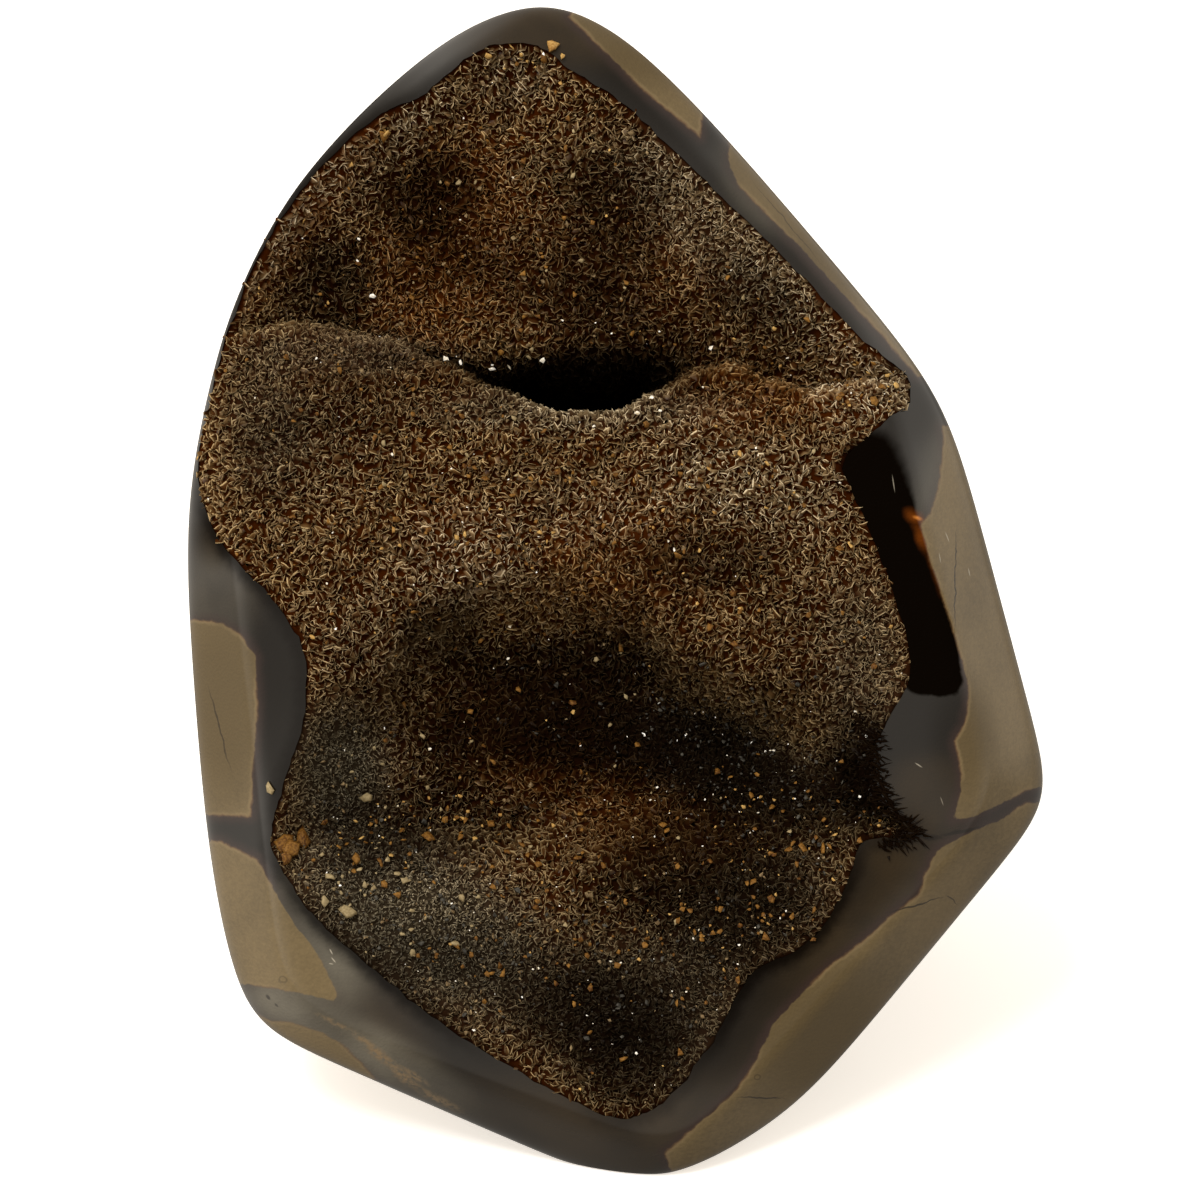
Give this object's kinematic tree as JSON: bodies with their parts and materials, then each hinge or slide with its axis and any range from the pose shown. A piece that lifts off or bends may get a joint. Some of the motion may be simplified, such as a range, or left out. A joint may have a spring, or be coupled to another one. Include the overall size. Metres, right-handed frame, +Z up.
{
  "type": "septarian nodule",
  "caption": "Polished freeform septarian nodule that stands on a sawn base, its leaning front face opened into a shallow hollow lined with one crust of small crystals.",
  "frame": {"origin": "on the ground, under the middle of the bounding box", "axes": "+Z up, the leaning front face with the hollow toward -Y, +X to the right as seen from the front"},
  "size_m": [0.1638, 0.1176, 0.1967],
  "materials": {
    "polished_stone": "polished olive-brown limestone with veins and a broad border of near-black calcite",
    "crystal_druse": "sparkling druse of small brown calcite crystals with paler edges"
  },
  "bodies": {
    "root": {"stone": "polished_stone", "crystal_crust": "crystal_druse"}
  },
  "joints": []
}
